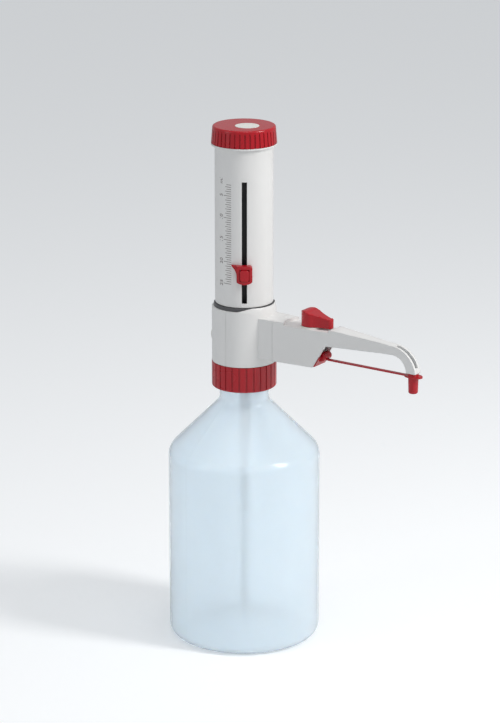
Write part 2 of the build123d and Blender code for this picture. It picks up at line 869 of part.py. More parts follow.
def cage_length(radius, travel):
    """Length of the chamber in which a valve's ball lifts."""
    return ball_lift(radius, outlet_bore) + radius + travel + ball_seat_gap


def make_outlet_valve():
    """Seat and cage of the discharge valve in the block's outlet."""
    start = outlet_valve_start
    end = start + outlet_valve_length
    seat = start + cage_start
    stop = seat + cage_length(outlet_ball_radius, outlet_ball_travel)
    chamber = outlet_ball_radius + ball_side_gap
    body = bar_x(outlet_valve_radius, start, end, outlet_z)
    body -= bar_x(outlet_bore, start, end, outlet_z)
    body -= bar_x(chamber, seat, stop, outlet_z)
    slot = cage_slot / 2
    body -= block_between(stop, end, -chamber, chamber, outlet_z - slot, outlet_z + slot)
    return body - block_between(stop, end, -slot, slot, outlet_z - chamber, outlet_z + chamber)


def make_outlet_ball():
    centre = outlet_valve_start + cage_start + ball_lift(outlet_ball_radius, outlet_bore)
    return Pos(centre, 0, outlet_z) * Sphere(outlet_ball_radius)


def make_outlet_pipe():
    """Short pipe from the discharge valve to the recirculation valve."""
    start = core_radius + outlet_valve_proud
    return bar_x(outlet_radius, start, pipe_end, outlet_z) - bar_x(outlet_bore, start, pipe_end, outlet_z)


def make_return_pipe():
    """Pipe that takes recirculated liquid back to the block."""
    body = bar_x(return_radius, return_start, return_end, outlet_z, -return_y)
    return body - bar_x(return_bore, return_start, return_end, outlet_z, -return_y)


def make_valve_body():
    """Round body of the recirculation valve, let into the arm from below."""
    foot = block_foot + valve_body_foot
    top = dish_z - arm_wall - seam_gap
    near = valve_x - valve_body_radius - join
    far = valve_x + valve_body_radius + join
    body = rod(valve_body_radius, foot, top, valve_x)
    body -= rod(plug_radius + turn_gap, block_foot + plug_foot - free_gap, top, valve_x)
    body -= bar_x(outlet_radius + seat_gap, near, pipe_end + seam_gap, outlet_z)
    body -= bar_x(outlet_bore, near, valve_x, outlet_z)
    body -= bar_x(return_radius + seat_gap, near, return_end + seam_gap, outlet_z, -return_y)
    body -= bar_x(discharge_tube_radius + seat_gap, valve_x + tube_start - seam_gap, far, tube_z)
    return body - bar_x(discharge_tube_bore, valve_x, far, tube_z)


def o_ring_heights():
    return [block_foot + plug_foot + height for height in plug_ring_heights]


def make_plug():
    """Turning plug with its cross bore and ring grooves."""
    foot = block_foot + plug_foot
    body = rod(plug_radius, foot, knob_foot, valve_x)
    body -= rod(outlet_bore, outlet_z, tube_z, valve_x)
    body -= bar_x(outlet_bore, valve_x - plug_radius, valve_x, outlet_z)
    body -= bar_x(discharge_tube_bore, valve_x, valve_x + plug_radius, tube_z)
    groove_floor = plug_radius - 2 * o_ring_section - seat_gap
    groove_half = o_ring_section + seam_gap
    for z in o_ring_heights():
        groove = tube(plug_radius + join, groove_floor, z - groove_half, z + groove_half)
        body -= Pos(valve_x, 0, 0) * groove
    return body


def make_plug_o_rings():
    rings = []
    for z in o_ring_heights():
        rings.append(Pos(valve_x, 0, z) * Torus(plug_radius - o_ring_section, o_ring_section))
    return Compound(rings)


def make_knob_seat():
    """Pale disc in the dish that the knob turns on."""
    return Pos(valve_x, 0, 0) * tube(
        knob_seat_radius, plug_radius + free_gap, dish_z, dish_z + knob_seat_thick
    )


def knob_plan():
    """Lever from above: round hub and round tip with hollow flanks between them."""
    lean = (knob_hub_radius - knob_tip_radius) / knob_reach
    c = sqrt(1 - lean ** 2)
    hub_x = valve_x + knob_hub_radius * lean
    hub_y = knob_hub_radius * c
    point_x = valve_x + knob_reach + knob_tip_radius * lean
    point_y = knob_tip_radius * c
    waist = ((hub_x + point_x) / 2, (hub_y + point_y) / 2 - knob_waist)
    with BuildSketch() as sketch:
        with BuildLine():
            ThreePointArc((hub_x, hub_y), waist, (point_x, point_y))
            Line((point_x, point_y), (point_x, -point_y))
            ThreePointArc((point_x, -point_y), (waist[0], -waist[1]), (hub_x, -hub_y))
            Line((hub_x, -hub_y), (hub_x, hub_y))
        make_face()
    flank = sketch.sketch
    hub = Pos(valve_x, 0) * Circle(knob_hub_radius)
    return flank + hub + Pos(valve_x + knob_reach, 0) * Circle(knob_tip_radius)


def knob_side():
    """Lever from the side: crowned hub, top that falls to a rounded tip."""
    top = knob_foot + knob_height
    back = valve_x - knob_hub_radius - join
    front = valve_x + knob_reach + knob_tip_radius + join
    brow = (valve_x + knob_crown_x, top - knob_crown_drop)
    nose = (front - knob_nose, top - knob_tip_drop)
    with BuildSketch(Plane.XZ) as sketch:
        with BuildLine():
            Line((back, knob_foot), (back, top - knob_back_drop))
            ThreePointArc((back, top - knob_back_drop), (valve_x - knob_hub_radius / 2, top), brow)
            Line(brow, nose)
            low = (front, top - knob_tip_drop - knob_nose)
            slack = knob_nose * (1 - cos(radians(45)))
            ThreePointArc(nose, (front - slack, top - knob_tip_drop - slack), low)
            Polyline(low, (front, knob_foot), (back, knob_foot))
        make_face()
    return side_plate(sketch.sketch, knob_hub_radius + join)


def make_recirculation_knob():
    """Wedge-shaped lever with its upper edges rounded."""
    body = extrude(Pos(0, 0, knob_foot) * knob_plan(), knob_height) & knob_side()
    upper = [edge for edge in body.edges() if edge.bounding_box().min.Z > knob_foot + knob_nose]
    upper = [edge for edge in upper if abs(edge.center().Y) > 0.01 or edge.bounding_box().size.X < join]
    return fillet(upper, knob_edge)


def make_discharge_tube():
    """Thin tube from the recirculation valve round the bend to the nozzle."""
    start = (valve_x + tube_start, 0, tube_z)
    radius = discharge_bend_radius
    bend_end = tube_z - radius
    bend_start = (closure_x - radius, 0, tube_z)
    half = (closure_x - radius * (1 - sin(radians(45))), 0, tube_z - radius * (1 - cos(radians(45))))
    path = Line(start, bend_start)
    path += ThreePointArc(bend_start, half, (closure_x, 0, bend_end))
    path += Line((closure_x, 0, bend_end), (closure_x, 0, arm_end_z - nozzle_length))
    ring = Circle(discharge_tube_radius) - Circle(discharge_tube_bore)
    return sweep(Plane(origin=start, z_dir=(1, 0, 0)) * ring, path=path)


def on_slant(height, out):
    """Point on the arm's slanted face, by its height and how far it stands out."""
    run = (slant_top_x - slant_x) / (slim_z - arm_foot_z)
    lean = atan2(slant_top_x - slant_x, slim_z - arm_foot_z)
    return (slant_x + run * height + out * cos(lean), arm_foot_z + height - out * sin(lean))


def across(shape, half_width_y):
    """A flat shape centred on the strap's pin, thickened both ways along Y."""
    return extrude(Plane.XZ * Pos(anchor_pin_x, anchor_z) * shape, half_width_y, both=True)


def anchor_slot():
    """Room below and in front of the pin for the strap's swing."""
    reach = 2 * overrun
    return Polyline(
        (anchor_pin_x, anchor_z), (anchor_pin_x + reach, anchor_z), (anchor_pin_x + reach, anchor_z - reach),
        (anchor_pin_x - strap_eye_radius - free_gap, anchor_z - reach),
        (anchor_pin_x - strap_eye_radius - free_gap, anchor_z), close=True,
    )


def make_strap_anchor():
    """Red plug in the slanted face with two ears and the strap's pin."""
    top = anchor_cover_height
    cover = Polyline(
        on_slant(free_gap, seat_gap), on_slant(top, seat_gap), on_slant(top, anchor_cover_thick),
        on_slant(3 * free_gap, anchor_cover_thick), close=True,
    )
    body = side_plate(make_face(Plane.XZ * cover), half_width(slant_top_x) - free_gap)
    foot = arm_wall + free_gap
    plug = Polyline(
        on_slant(foot, join), on_slant(top, join), on_slant(top, -anchor_plug_depth),
        on_slant(foot + anchor_plug_depth, -anchor_plug_depth), on_slant(foot, -anchor_cover_thick),
        close=True,
    )
    body += side_plate(make_face(Plane.XZ * plug), half_width(slant_top_x) - arm_wall - free_gap)
    inner = strap_eye_width / 2 + turn_gap
    outer = inner + ear_width
    web = Polyline(
        on_slant(anchor_cover_height / 2, join), on_slant(top, -2.0),
        (anchor_pin_x, anchor_z + strap_eye_radius), (anchor_pin_x, anchor_z - strap_eye_radius),
        close=True,
    )
    ears = across(Circle(strap_eye_radius), outer) + side_plate(make_face(Plane.XZ * web), outer)
    body += ears
    body -= side_plate(make_face(Plane.XZ * anchor_slot()), inner)
    body -= across(Circle(strap_eye_radius + free_gap), inner)
    return body + across(Circle(anchor_pin_radius), outer)


def wing_z():
    """Middle height of the closure's wings."""
    return closure_top - wing_drop - wing_thick / 2


def make_cap_strap():
    """Thin strap: eye on the anchor's pin, band to the closure's wing."""
    eye = Circle(strap_eye_radius) - Circle(anchor_pin_radius + turn_gap)
    body = across(eye, strap_eye_width / 2)
    start = (anchor_pin_x, anchor_z - strap_eye_radius + strap_thick / 2)
    end = (closure_x - wing_reach + wing_thick, wing_z())
    length = sqrt((end[0] - start[0]) ** 2 + (end[1] - start[1]) ** 2)
    rise = degrees(atan2(end[1] - start[1], end[0] - start[0]))
    band = Pos(start[0], 0, start[1]) * Rot(0, -rise, 0) * Pos(length / 2, 0, 0)
    band = band * Box(length, strap_width, strap_thick)
    return body + (band - across(Circle((strap_eye_radius + anchor_pin_radius) / 2), strap_width))


def make_nozzle_cap():
    """Tapered closure with a wing each side."""
    foot = closure_top - closure_height
    foot_radius = closure_radius - closure_taper
    bore = closure_radius - closure_wall
    body = revolved([(0, foot), (foot_radius, foot), (closure_radius, closure_top), (0, closure_top)])
    rims = body.edges().filter_by(GeomType.CIRCLE)
    body = fillet([min(rims, key=lambda rim: rim.center().Z)], closure_edge)
    wings = extrude(
        Pos(0, 0, wing_z() - wing_thick / 2) * Ellipse(wing_reach, wing_half_width), wing_thick
    )
    body = body + wings - rod(bore, foot + closure_floor, closure_top)
    body = Pos(closure_x, 0, 0) * body
    return body - make_cap_strap()


def make_vent_cap():
    """Domed stopper with a hollow plug, pulled out of the rear cover."""
    back = block_radius + vent_boss_proud + seam_gap
    rim = back + vent_rim
    front = back + vent_cap_thick
    rise = front - rim
    dome = (vent_cap_radius ** 2 + rise ** 2) / (2 * rise)
    half = asin(vent_cap_radius / dome) / 2
    plug_end = core_radius + vent_plug_gap
    plug_bore = vent_plug_radius - vent_plug_wall
    with BuildSketch(Plane.XZ) as sketch:
        with BuildLine():
            Polyline(
                (0, front), (0, back), (plug_bore, back), (plug_bore, plug_end),
                (vent_plug_radius, plug_end), (vent_plug_radius, back), (vent_cap_radius, back),
                (vent_cap_radius, rim),
            )
            crown = (dome * sin(half), front - dome * (1 - cos(half)))
            ThreePointArc((vent_cap_radius, rim), crown, (0, front))
        make_face()
    return Pos(0, 0, vent_z) * Rot(0, -90, 0) * revolve(sketch.sketch, Axis.Z)


def make_intake_valve():
    """Filling valve screwed into the block from below, with the suction tube's nipple."""
    top = intake_foot + intake_valve_length
    seat = intake_foot + cage_start
    stop = seat + cage_length(intake_ball_radius, intake_ball_travel)
    chamber = intake_ball_radius + ball_side_gap
    body = rod(intake_valve_radius, intake_foot, top)
    body += rod(nipple_radius, intake_foot - nipple_length, intake_foot)
    body -= rod(outlet_bore, intake_foot - nipple_length, top)
    body -= rod(chamber, seat, stop)
    slot = cage_slot / 2
    body -= block_between(-chamber, chamber, -slot, slot, stop, top)
    return body - block_between(-slot, slot, -chamber, chamber, stop, top)


def make_intake_ball():
    centre = intake_foot + cage_start + ball_lift(intake_ball_radius, outlet_bore)
    return Pos(0, 0, centre) * Sphere(intake_ball_radius)


def make_suction_tube_upper():
    return tube(upper_tube_bore + upper_tube_wall, upper_tube_bore, upper_tube_foot, intake_foot)


def make_suction_tube_lower():
    """Telescoping end of the suction tube, cut on a slant at the foot."""
    outer = upper_tube_bore - turn_gap
    body = tube(outer, outer - lower_tube_wall, lower_tube_foot, lower_tube_top)
    wedge = Polyline(
        (-outer, lower_tube_foot), (outer + join, lower_tube_foot - join),
        (outer + join, lower_tube_foot + 2 * outer), close=True,
    )
    return body - side_plate(make_face(Plane.XZ * wedge), outer + join)


def make_recirculation_tube():
    """Return tube that hangs in the bottle's neck."""
    top = flange_foot + drip_tube_seat
    body = rod(drip_tube_radius, drip_tube_foot, top, drip_tube_x, drip_tube_y)
    return body - rod(drip_tube_radius - drip_tube_wall, drip_tube_foot, top, drip_tube_x, drip_tube_y)


pieces = {
    "bottle": make_bottle,
    "neck_seal": make_neck_seal,
    "collar": make_collar,
    "valve_block": make_valve_block,
    "front_housing": make_front_housing,
    "rear_cover": make_rear_cover,
    "cylinder_guard": make_cylinder_guard,
    "glass_cylinder": make_glass_cylinder,
    "cylinder_seal": make_cylinder_seal,
    "cylinder_bush": make_cylinder_bush,
    "lock_ring": make_lock_ring,
    "outer_sleeve": make_outer_sleeve,
    "top_cap": make_top_cap,
    "cap_disc": make_cap_disc,
    "piston_rod": make_piston_rod,
    "piston": make_piston,
    "piston_seal": make_piston_seal,
    "toothed_rack": make_toothed_rack,
    "volume_pointer": make_volume_pointer,
    "pointer_button": make_pointer_button,
    "pointer_latch": make_pointer_latch,
    "discharge_housing": make_discharge_housing,
    "outlet_valve": make_outlet_valve,
    "outlet_ball": make_outlet_ball,
    "outlet_pipe": make_outlet_pipe,
    "return_pipe": make_return_pipe,
    "valve_body": make_valve_body,
    "valve_plug": make_plug,
    "plug_o_rings": make_plug_o_rings,
    "knob_seat": make_knob_seat,
    "recirculation_knob": make_recirculation_knob,
    "discharge_tube": make_discharge_tube,
    "strap_anchor": make_strap_anchor,
    "cap_strap": make_cap_strap,
    "nozzle_cap": make_nozzle_cap,
    "vent_cap": make_vent_cap,
    "intake_valve": make_intake_valve,
    "intake_ball": make_intake_ball,
    "suction_tube_upper": make_suction_tube_upper,
    "suction_tube_lower": make_suction_tube_lower,
    "recirculation_tube": make_recirculation_tube,
}

for name, make in pieces.items():
    export_step(make(), f"parts/{name}.step")
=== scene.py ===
import math

import bmesh
import bpy
from mathutils import Matrix, Vector


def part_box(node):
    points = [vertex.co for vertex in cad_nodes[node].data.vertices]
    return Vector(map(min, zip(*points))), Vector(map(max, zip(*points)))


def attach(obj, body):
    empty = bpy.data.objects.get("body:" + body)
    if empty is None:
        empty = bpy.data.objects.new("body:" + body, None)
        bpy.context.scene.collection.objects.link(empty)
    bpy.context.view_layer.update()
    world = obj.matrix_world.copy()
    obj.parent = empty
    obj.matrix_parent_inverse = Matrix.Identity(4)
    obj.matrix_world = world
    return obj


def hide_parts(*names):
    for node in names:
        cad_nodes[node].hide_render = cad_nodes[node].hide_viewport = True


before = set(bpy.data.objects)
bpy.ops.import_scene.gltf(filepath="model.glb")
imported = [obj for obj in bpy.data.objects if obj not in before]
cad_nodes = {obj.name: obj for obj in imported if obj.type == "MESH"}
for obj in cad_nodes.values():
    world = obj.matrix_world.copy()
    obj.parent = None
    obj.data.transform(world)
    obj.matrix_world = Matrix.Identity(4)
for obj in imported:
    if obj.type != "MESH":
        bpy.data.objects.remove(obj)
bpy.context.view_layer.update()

# Studio
# A pale table with soft light from the right, a weaker one from the left and one overhead,
# and a long lens from slightly above, as for a catalogue picture.
view_azimuth = math.radians(34.4)
view_elevation = math.radians(16.8)
view_distance = 2.52
aim_height = 0.2408
image_height = 723
film_width = 36.0
focal_pixels = 3000
axis_left_pixels = 5.8
table_colour = (0.86, 0.87, 0.88, 1.0)
table_glow = 0.26
table_half_side = 40.0
backdrop_colour = (0.86, 0.88, 0.90, 1.0)
world_colour = (0.91, 0.94, 0.97, 1.0)
world_strength = 0.46

toward_camera = Vector((
    math.sin(view_azimuth) * math.cos(view_elevation),
    -math.cos(view_azimuth) * math.cos(view_elevation),
    math.sin(view_elevation),
))
camera_right = Vector((math.cos(view_azimuth), math.sin(view_azimuth), 0.0))
aim = Vector((0.0, 0.0, aim_height))


def studio_camera():
    """Long lens, looking parallel to the line to the aim and moved a little to the right."""
    data = bpy.data.cameras.new("studio_camera")
    data.sensor_width = film_width
    data.lens = focal_pixels / image_height * data.sensor_width
    camera = bpy.data.objects.new("studio_camera", data)
    shift = axis_left_pixels / focal_pixels * view_distance
    camera.location = aim + toward_camera * view_distance + camera_right * shift
    camera.rotation_euler = (-toward_camera).to_track_quat("-Z", "Y").to_euler()
    bpy.context.scene.collection.objects.link(camera)
    bpy.context.scene.camera = camera


def softbox(name, bearing, elevation, distance, size, power, colour):
    """Rectangular lamp, its bearing measured to the right of the camera."""
    data = bpy.data.lights.new(name, "AREA")
    data.shape = "RECTANGLE"
    data.size, data.size_y = size
    data.energy = power
    data.color = colour
    lamp = bpy.data.objects.new(name, data)
    angle = view_azimuth + math.radians(bearing)
    high = math.radians(elevation)
    away = Vector((math.sin(angle) * math.cos(high), -math.cos(angle) * math.cos(high), math.sin(high)))
    lamp.location = aim + away * distance
    lamp.rotation_euler = (-away).to_track_quat("-Z", "Y").to_euler()
    bpy.context.scene.collection.objects.link(lamp)


def backdrop_rays(tree):
    """One for rays that show the backdrop as it is, straight or through glass, and nought for light."""
    path = tree.nodes.new("ShaderNodeLightPath")
    rays = tree.nodes.new("ShaderNodeMath")
    rays.operation = "MAXIMUM"
    tree.links.new(path.outputs["Is Camera Ray"], rays.inputs[0])
    tree.links.new(path.outputs["Is Transmission Ray"], rays.inputs[1])
    return rays.outputs[0]


def table_top():
    """Pale matt table that keeps the object's shadow and runs out into the backdrop."""
    side = table_half_side
    mesh = bpy.data.meshes.new("table_top")
    corners = [(-side, -side, 0.0), (side, -side, 0.0), (side, side, 0.0), (-side, side, 0.0)]
    mesh.from_pydata(corners, [], [(0, 1, 2, 3)])
    table = bpy.data.objects.new("table_top", mesh)
    bpy.context.scene.collection.objects.link(table)
    material = bpy.data.materials.new("table_paper")
    material.use_nodes = True
    shader = material.node_tree.nodes["Principled BSDF"]
    shader.inputs["Base Color"].default_value = table_colour
    shader.inputs["Roughness"].default_value = 0.9
    shader.inputs["Specular IOR Level"].default_value = 0.1
    shader.inputs["Emission Color"].default_value = table_colour
    tree = material.node_tree
    glow = tree.nodes.new("ShaderNodeMath")
    glow.operation = "MULTIPLY"
    glow.inputs[1].default_value = table_glow
    tree.links.new(backdrop_rays(tree), glow.inputs[0])
    tree.links.new(glow.outputs[0], shader.inputs["Emission Strength"])
    mesh.materials.append(material)


def backdrop():
    """Even pale light all round; the camera sees a paler backdrop, straight or through glass."""
    world = bpy.data.worlds.new("studio_world")
    bpy.context.scene.world = world
    world.use_nodes = True
    tree = world.node_tree
    tree.nodes.clear()
    seen = tree.nodes.new("ShaderNodeBackground")
    seen.inputs["Color"].default_value = backdrop_colour
    lit = tree.nodes.new("ShaderNodeBackground")
    lit.inputs["Color"].default_value = world_colour
    lit.inputs["Strength"].default_value = world_strength
    mix = tree.nodes.new("ShaderNodeMixShader")
    tree.links.new(backdrop_rays(tree), mix.inputs["Fac"])
    tree.links.new(lit.outputs[0], mix.inputs[1])
    tree.links.new(seen.outputs[0], mix.inputs[2])
    output = tree.nodes.new("ShaderNodeOutputWorld")
    tree.links.new(mix.outputs[0], output.inputs["Surface"])


bpy.context.scene.view_settings.view_transform = "Standard"
studio_camera()
softbox(
    "key_softbox", bearing=66, elevation=36, distance=1.5, size=(0.28, 0.60), power=12.0,
    colour=(1.0, 0.985, 0.965),
)
softbox(
    "fill_softbox", bearing=-62, elevation=20, distance=1.7, size=(0.4, 0.9), power=2.6,
    colour=(0.97, 0.985, 1.0),
)
softbox(
    "top_softbox", bearing=20, elevation=80, distance=1.6, size=(0.7, 0.7), power=4.5,
    colour=(1.0, 1.0, 1.0),
)
table_top()
backdrop()

# Bottle
# Two litre reagent bottle, blow moulded in milky polyethylene in a two-part mould that leaves
# a fine line down each side, with a flat foot ring and a screw neck.
bottle_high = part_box("bottle")[1]
bottle_radius = bottle_high.x
lip_height = bottle_high.z
bottle_wall = 0.0018
heel_radius = 0.009
shoulder_radius = 0.014
neck_radius = 0.0206
neck_blend = 0.010
neck_length = 0.0273
cone_sum = lip_height - neck_length + neck_radius
foot_ring = 0.050
foot_rise = 0.0022
lip_edge_outside = 0.0006
lip_edge_inside = 0.0004
heel_steps = 10
bend_steps = 8
bottle_segments = 160
seam_bearing = math.radians(75)
seam_shares = (-0.4, -0.2, 0.2, 0.4)
parting_height = 0.00012
parting_width = 0.0006
clouds_per_metre = 28.0
gloss_swing = (0.3, 0.7)
milky = (0.86, 0.93, 0.98, 1.0)
# painted glow: the bottle gives off a faint light of its own in its milky colour, so it reads brighter
painted_bottle_glow = 0.07


def moulded_surface():
    """Shared effect of moulded plastic: faint clouding, uneven gloss and a fine grain."""
    group = bpy.data.node_groups.new("moulded_surface", "ShaderNodeTree")
    face = group.interface
    face.new_socket("Colour", in_out="INPUT", socket_type="NodeSocketColor")
    face.new_socket("Clouding", in_out="INPUT", socket_type="NodeSocketFloat")
    face.new_socket("Gloss low", in_out="INPUT", socket_type="NodeSocketFloat")
    face.new_socket("Gloss high", in_out="INPUT", socket_type="NodeSocketFloat")
    face.new_socket("Grain size", in_out="INPUT", socket_type="NodeSocketFloat")
    face.new_socket("Colour", in_out="OUTPUT", socket_type="NodeSocketColor")
    face.new_socket("Roughness", in_out="OUTPUT", socket_type="NodeSocketFloat")
    face.new_socket("Height", in_out="OUTPUT", socket_type="NodeSocketFloat")
    nodes, links = group.nodes, group.links
    given = nodes.new("NodeGroupInput")
    given_out = given.outputs
    made = nodes.new("NodeGroupOutput")
    place = nodes.new("ShaderNodeTexCoord")
    clouds = nodes.new("ShaderNodeTexNoise")
    clouds.inputs["Scale"].default_value = clouds_per_metre
    clouds.inputs["Detail"].default_value = 4.0
    links.new(place.outputs["Object"], clouds.inputs["Vector"])
    dark = nodes.new("ShaderNodeHueSaturation")
    links.new(given_out["Colour"], dark.inputs["Color"])
    amount = nodes.new("ShaderNodeMath")
    amount.operation = "MULTIPLY_ADD"
    links.new(given_out["Clouding"], amount.inputs[0])
    spread = nodes.new("ShaderNodeMath")
    spread.operation = "SUBTRACT"
    spread.inputs[1].default_value = 0.5
    links.new(clouds.outputs["Fac"], spread.inputs[0])
    links.new(spread.outputs[0], amount.inputs[1])
    amount.inputs[2].default_value = 1.0
    links.new(amount.outputs[0], dark.inputs["Value"])
    links.new(dark.outputs["Color"], made.inputs["Colour"])
    gloss = nodes.new("ShaderNodeMapRange")
    gloss.inputs["From Min"].default_value = gloss_swing[0]
    gloss.inputs["From Max"].default_value = gloss_swing[1]
    links.new(clouds.outputs["Fac"], gloss.inputs["Value"])
    links.new(given_out["Gloss low"], gloss.inputs["To Min"])
    links.new(given_out["Gloss high"], gloss.inputs["To Max"])
    links.new(gloss.outputs["Result"], made.inputs["Roughness"])
    grain = nodes.new("ShaderNodeTexNoise")
    grain.inputs["Detail"].default_value = 2.0
    per_metre = nodes.new("ShaderNodeMath")
    per_metre.operation = "DIVIDE"
    per_metre.inputs[0].default_value = 1.0
    links.new(given_out["Grain size"], per_metre.inputs[1])
    links.new(place.outputs["Object"], grain.inputs["Vector"])
    links.new(per_metre.outputs[0], grain.inputs["Scale"])
    links.new(grain.outputs["Fac"], made.inputs["Height"])
    return group


surface_effect = moulded_surface()


def shader_of(material):
    return material.node_tree.nodes["Principled BSDF"]


def moulded_material(name, colour, gloss, clouding, grain_size, grain_depth, edge_round=0.0):
    """Plastic with the shared surface; edges are softened by the mould's own small radius."""
    material = bpy.data.materials.new(name)
    material.use_nodes = True
    tree = material.node_tree
    shader = shader_of(material)
    effect = tree.nodes.new("ShaderNodeGroup")
    effect.node_tree = surface_effect
    effect.inputs["Colour"].default_value = colour
    effect.inputs["Clouding"].default_value = clouding
    effect.inputs["Gloss low"].default_value = gloss[0]
    effect.inputs["Gloss high"].default_value = gloss[1]
    effect.inputs["Grain size"].default_value = grain_size
    bump = tree.nodes.new("ShaderNodeBump")
    bump.inputs["Distance"].default_value = grain_depth
    if edge_round:
        soft = tree.nodes.new("ShaderNodeBevel")
        soft.samples = 6
        soft.inputs["Radius"].default_value = edge_round
        tree.links.new(soft.outputs["Normal"], bump.inputs["Normal"])
    tree.links.new(effect.outputs["Colour"], shader.inputs["Base Color"])
    tree.links.new(effect.outputs["Roughness"], shader.inputs["Roughness"])
    tree.links.new(effect.outputs["Height"], bump.inputs["Height"])
    tree.links.new(bump.outputs["Normal"], shader.inputs["Normal"])
    return material


def arc(centre, radius, start, end, steps):
    """Points of an arc in radius and height, angles in degrees from straight out."""
    found = []
    for i in range(steps + 1):
        angle = math.radians(start + (end - start) * i / steps)
        found.append((centre[0] + radius * math.cos(angle), centre[1] + radius * math.sin(angle)))
    return found


def lathe(name, profile, turns, swell=None):
    """Closed solid of revolution; swell moves a point's radius by its angle where that is given."""
    mesh = bpy.data.meshes.new(name)
    form = bmesh.new()
    rings = []
    for radius, height in profile:
        if radius < 1e-6:
            rings.append([form.verts.new((0.0, 0.0, height))])
            continue
        ring = []
        for angle in turns:
            r = radius + (swell(radius, height, angle) if swell else 0.0)
            ring.append(form.verts.new((r * math.cos(angle), r * math.sin(angle), height)))
        rings.append(ring)
    count = len(turns)
    for below, above in zip(rings, rings[1:] + rings[:1]):
        if len(below) == 1 and len(above) == 1:
            continue
        for i in range(count):
            j = (i + 1) % count
            if len(below) == 1:
                form.faces.new((below[0], above[j], above[i]))
            elif len(above) == 1:
                form.faces.new((below[i], below[j], above[0]))
            else:
                form.faces.new((below[i], below[j], above[j], above[i]))
    bmesh.ops.recalc_face_normals(form, faces=form.faces)
    for face in form.faces:
        face.smooth = True
    form.to_mesh(mesh)
    form.free()
    piece = bpy.data.objects.new(name, mesh)
    bpy.context.scene.collection.objects.link(piece)
    return piece


def bottle_profile():
    """Outer line from the foot's centre to the lip, then the inner line back."""
    shoulder_z = cone_sum - bottle_radius - shoulder_radius * (math.sqrt(2) - 1)
    neck_z = cone_sum - neck_radius + neck_blend * (math.sqrt(2) - 1)
    ring_edge = foot_ring + foot_rise
    line = [(0.0, foot_rise), (foot_ring, foot_rise), (ring_edge, 0.0)]
    heel = (bottle_radius - heel_radius, heel_radius)
    shoulder = (bottle_radius - shoulder_radius, shoulder_z)
    neck = (neck_radius + neck_blend, neck_z)
    line += arc(heel, heel_radius, -90, 0, heel_steps)
    line += arc(shoulder, shoulder_radius, 0, 45, bend_steps)
    line += arc(neck, neck_blend, 225, 180, bend_steps)
    line += [(neck_radius, lip_height - lip_edge_outside), (neck_radius - lip_edge_outside, lip_height)]
    inner = neck_radius - bottle_wall
    line += [(inner + lip_edge_inside, lip_height), (inner, lip_height - lip_edge_inside)]
    line += arc(neck, neck_blend + bottle_wall, 180, 225, bend_steps)
    line += arc(shoulder, shoulder_radius - bottle_wall, 45, 0, bend_steps)
    line += arc(heel, heel_radius - bottle_wall, 0, -90, bend_steps)
    floor = foot_rise + bottle_wall
    line += [(ring_edge - bottle_wall, bottle_wall), (foot_ring - bottle_wall, floor), (0.0, floor)]
    return line


def parting_line(radius, height, angle):
    """Fine ridge where the two mould halves met, on the outer wall only."""
    if radius < neck_radius - bottle_wall / 2 or height < heel_radius:
        return 0.0
    across = min(abs(math.sin(angle - seam_bearing)) * radius, 4 * parting_width)
    return parting_height * math.exp(-((across / parting_width) ** 2))


def bottle_turns():
    """Angles of the mesh, closer together at the parting line."""
    step = 2 * math.pi / bottle_segments
    angles = [i * step + seam_bearing for i in range(bottle_segments)]
    for side in (0.0, math.pi):
        for share in seam_shares:
            angles.append(seam_bearing + side + share * step)
    return sorted(angle % (2 * math.pi) for angle in angles)


bottle_shell = lathe("bottle_shell", bottle_profile(), bottle_turns(), parting_line)
polyethylene = moulded_material(
    "milky_polyethylene", milky, gloss=(0.20, 0.27), clouding=0.05, grain_size=0.0011, grain_depth=0.00003
)
polyethylene_shader = shader_of(polyethylene)
polyethylene_shader.inputs["Transmission Weight"].default_value = 0.66
polyethylene_shader.inputs["IOR"].default_value = 1.25
polyethylene_shader.inputs["Coat Weight"].default_value = 0.6
polyethylene_shader.inputs["Coat Roughness"].default_value = 0.16
polyethylene_shader.inputs["Emission Color"].default_value = milky
# painted glow: a faint emission that lifts the bottle's brightness
polyethylene_shader.inputs["Emission Strength"].default_value = painted_bottle_glow
polyethylene_shader.inputs["Subsurface Weight"].default_value = 0.25
polyethylene_shader.inputs["Subsurface Radius"].default_value = (0.006, 0.007, 0.008)
bottle_shell.data.materials.append(polyethylene)
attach(bottle_shell, "bottle")
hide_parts("bottle")

# White mouldings
# The sleeve, both halves of the block's housing and the arm are moulded in white
# polypropylene with a fine satin skin and small radii on every edge.
shell_white = (0.78, 0.775, 0.765, 1.0)
white_plastic = moulded_material(
    "white_polypropylene", shell_white, gloss=(0.30, 0.40), clouding=0.04, grain_size=0.0006,
    grain_depth=0.00002, edge_round=0.0006,
)


def dress(material, *names):
    """Gives CAD nodes their finish."""
    for name in names:
        slots = cad_nodes[name].data.materials
        slots.clear()
        slots.append(material)


dress(white_plastic, "front_housing", "rear_cover", "outer_sleeve", "discharge_housing")

# Scale print
# Ticks for every half millilitre and upright numbers, printed on the sleeve left of the slot.
sleeve_radius = 0.0243
slot_bearing = math.radians(-55)
most_volume = 25
number_step = 5
millilitre = 0.00373
tick_foot = 0.31405
tick_pitch = millilitre / 2
tick_start = math.radians(-26.5)
number_start = math.radians(-53)
unit_rise = 0.012
ink_thick = 0.00006
ink_line = 0.00040
number_size = 0.0052
ink_grey = (0.13, 0.10, 0.10, 1.0)
ink = moulded_material(
    "printing_ink", ink_grey, gloss=(0.40, 0.50), clouding=0.10, grain_size=0.0005, grain_depth=0.000005
)
# Each row of ticks: how many, half millilitres from one to the next, and length in degrees
tick_rows = {"half": (46, 1, 10.5), "whole": (23, 2, 13.5), "five": (5, 10, 17.5)}


